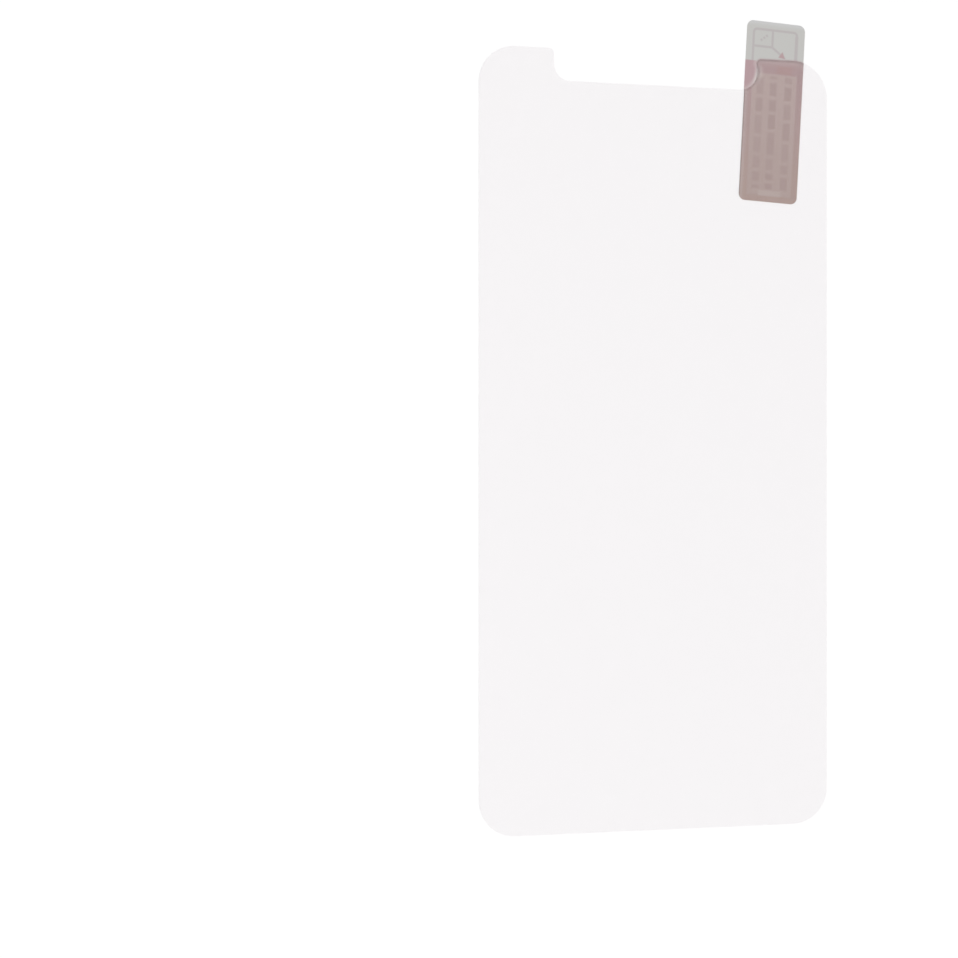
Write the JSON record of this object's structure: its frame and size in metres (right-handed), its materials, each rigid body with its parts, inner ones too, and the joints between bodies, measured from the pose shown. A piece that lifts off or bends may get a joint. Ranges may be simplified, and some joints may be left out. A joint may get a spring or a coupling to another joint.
{
  "type": "phone screen protector",
  "caption": "Tempered glass screen protector for a notched phone: flat pane with a polished curved edge, clear release liner on its adhesive back and a printed pull tab.",
  "frame": {"origin": "centre of the pane's outline on its adhesive back face, where it bonds to a phone's screen", "axes": "+X across the pane, to the right seen from the front; +Y along the pane towards the notch; +Z out of the front face"},
  "size_m": [0.066, 0.146, 0.0005],
  "materials": {
    "glass": "polished, clear with a faint tint",
    "liner_film": "clear gloss film",
    "tab_film": "translucent film, rose-grey print over a clear grey grip"
  },
  "bodies": {
    "root": {"glass_pane": "glass", "release_liner": "liner_film", "pull_tab": "tab_film"}
  },
  "joints": []
}
